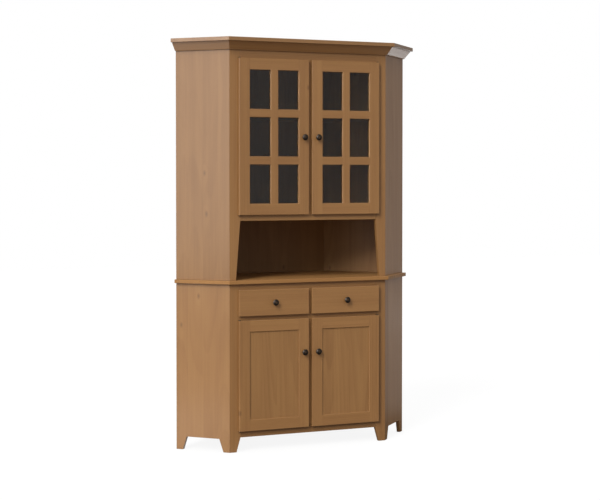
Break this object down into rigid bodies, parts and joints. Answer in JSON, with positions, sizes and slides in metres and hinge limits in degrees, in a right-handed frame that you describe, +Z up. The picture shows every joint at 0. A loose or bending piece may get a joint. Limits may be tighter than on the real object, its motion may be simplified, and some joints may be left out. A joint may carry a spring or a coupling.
{
  "type": "corner cupboard",
  "caption": "Tall corner cupboard: glazed hutch doors over an open niche, counter board, drawers and panelled doors on tapered feet.",
  "frame": {"origin": "on the floor, at the middle of the bounding box's width and depth", "axes": "+Z up, the front with the doors faces -Y, +X to the right seen from the front"},
  "size_m": [1.3738, 0.5912, 2.083],
  "materials": {
    "stained_wood": "stained and satin lacquered hardwood",
    "inside_board": "stained board, thinly lacquered",
    "back_board": "stained veneered board",
    "knob_bronze": "dark oil-rubbed, satin",
    "hinge_steel": "antique bronze plated",
    "door_glass": "clear float glass"
  },
  "bodies": {
    "carcass": {"base_side_right": "stained_wood", "base_side_left": "stained_wood", "base_wall_back_right": "back_board", "base_wall_back_left": "back_board", "base_rear_back": "back_board", "base_floor": "inside_board", "base_shelf": "inside_board", "drawer_panel": "inside_board", "counter_board": "stained_wood", "rear_foot_right": "stained_wood", "rear_foot_left": "stained_wood", "base_stile_right": "stained_wood", "base_stile_left": "stained_wood", "base_centre_stile": "stained_wood", "base_top_rail": "stained_wood", "drawer_rail": "stained_wood", "base_bottom_rail": "stained_wood", "hutch_side_right": "stained_wood", "hutch_side_left": "stained_wood", "hutch_wall_back_right": "back_board", "hutch_wall_back_left": "back_board", "hutch_rear_back": "back_board", "hutch_stile_right": "stained_wood", "hutch_stile_left": "stained_wood", "hutch_centre_stile": "stained_wood", "hutch_top_rail": "stained_wood", "niche_rail": "stained_wood", "hutch_floor": "inside_board", "hutch_shelf_lower": "inside_board", "hutch_shelf_upper": "inside_board", "crown_front": "stained_wood", "crown_side_right": "stained_wood", "crown_side_left": "stained_wood", "crown_cap": "stained_wood", "hutch_door_right_hinge_top": "hinge_steel", "hutch_door_right_hinge_bottom": "hinge_steel", "hutch_door_left_hinge_top": "hinge_steel", "hutch_door_left_hinge_bottom": "hinge_steel", "base_door_right_hinge_top": "hinge_steel", "base_door_right_hinge_bottom": "hinge_steel", "base_door_left_hinge_top": "hinge_steel", "base_door_left_hinge_bottom": "hinge_steel"},
    "hutch_door_right": {"hutch_door_right_frame": "stained_wood", "hutch_door_right_glass": "door_glass", "hutch_door_right_knob": "knob_bronze"},
    "hutch_door_left": {"hutch_door_left_frame": "stained_wood", "hutch_door_left_glass": "door_glass", "hutch_door_left_knob": "knob_bronze"},
    "base_door_right": {"base_door_right_frame": "stained_wood", "base_door_right_panel": "stained_wood", "base_door_right_knob": "knob_bronze"},
    "base_door_left": {"base_door_left_frame": "stained_wood", "base_door_left_panel": "stained_wood", "base_door_left_knob": "knob_bronze"},
    "drawer_right": {"drawer_right_front": "stained_wood", "drawer_right_box": "inside_board", "drawer_right_knob": "knob_bronze"},
    "drawer_left": {"drawer_left_front": "stained_wood", "drawer_left_box": "inside_board", "drawer_left_knob": "knob_bronze"}
  },
  "joints": [
    {"name": "hutch_door_right_swing", "type": "hinge", "parent": "carcass", "child": "hutch_door_right", "pos_m": [0.3855, -0.25211, 1.5885], "axis": [0, 0, 1], "range_deg": [0, 110]},
    {"name": "hutch_door_left_swing", "type": "hinge", "parent": "carcass", "child": "hutch_door_left", "pos_m": [-0.3855, -0.25211, 1.5885], "axis": [0, 0, -1], "range_deg": [0, 110]},
    {"name": "base_door_right_swing", "type": "hinge", "parent": "carcass", "child": "base_door_right", "pos_m": [0.3855, -0.25211, 0.385], "axis": [0, 0, 1], "range_deg": [0, 110]},
    {"name": "base_door_left_swing", "type": "hinge", "parent": "carcass", "child": "base_door_left", "pos_m": [-0.3855, -0.25211, 0.385], "axis": [0, 0, -1], "range_deg": [0, 110]},
    {"name": "drawer_right_slide", "type": "slide", "parent": "carcass", "child": "drawer_right", "axis": [0, -1, 0], "range_m": [0, 0.3]},
    {"name": "drawer_left_slide", "type": "slide", "parent": "carcass", "child": "drawer_left", "axis": [0, -1, 0], "range_m": [0, 0.3]}
  ]
}
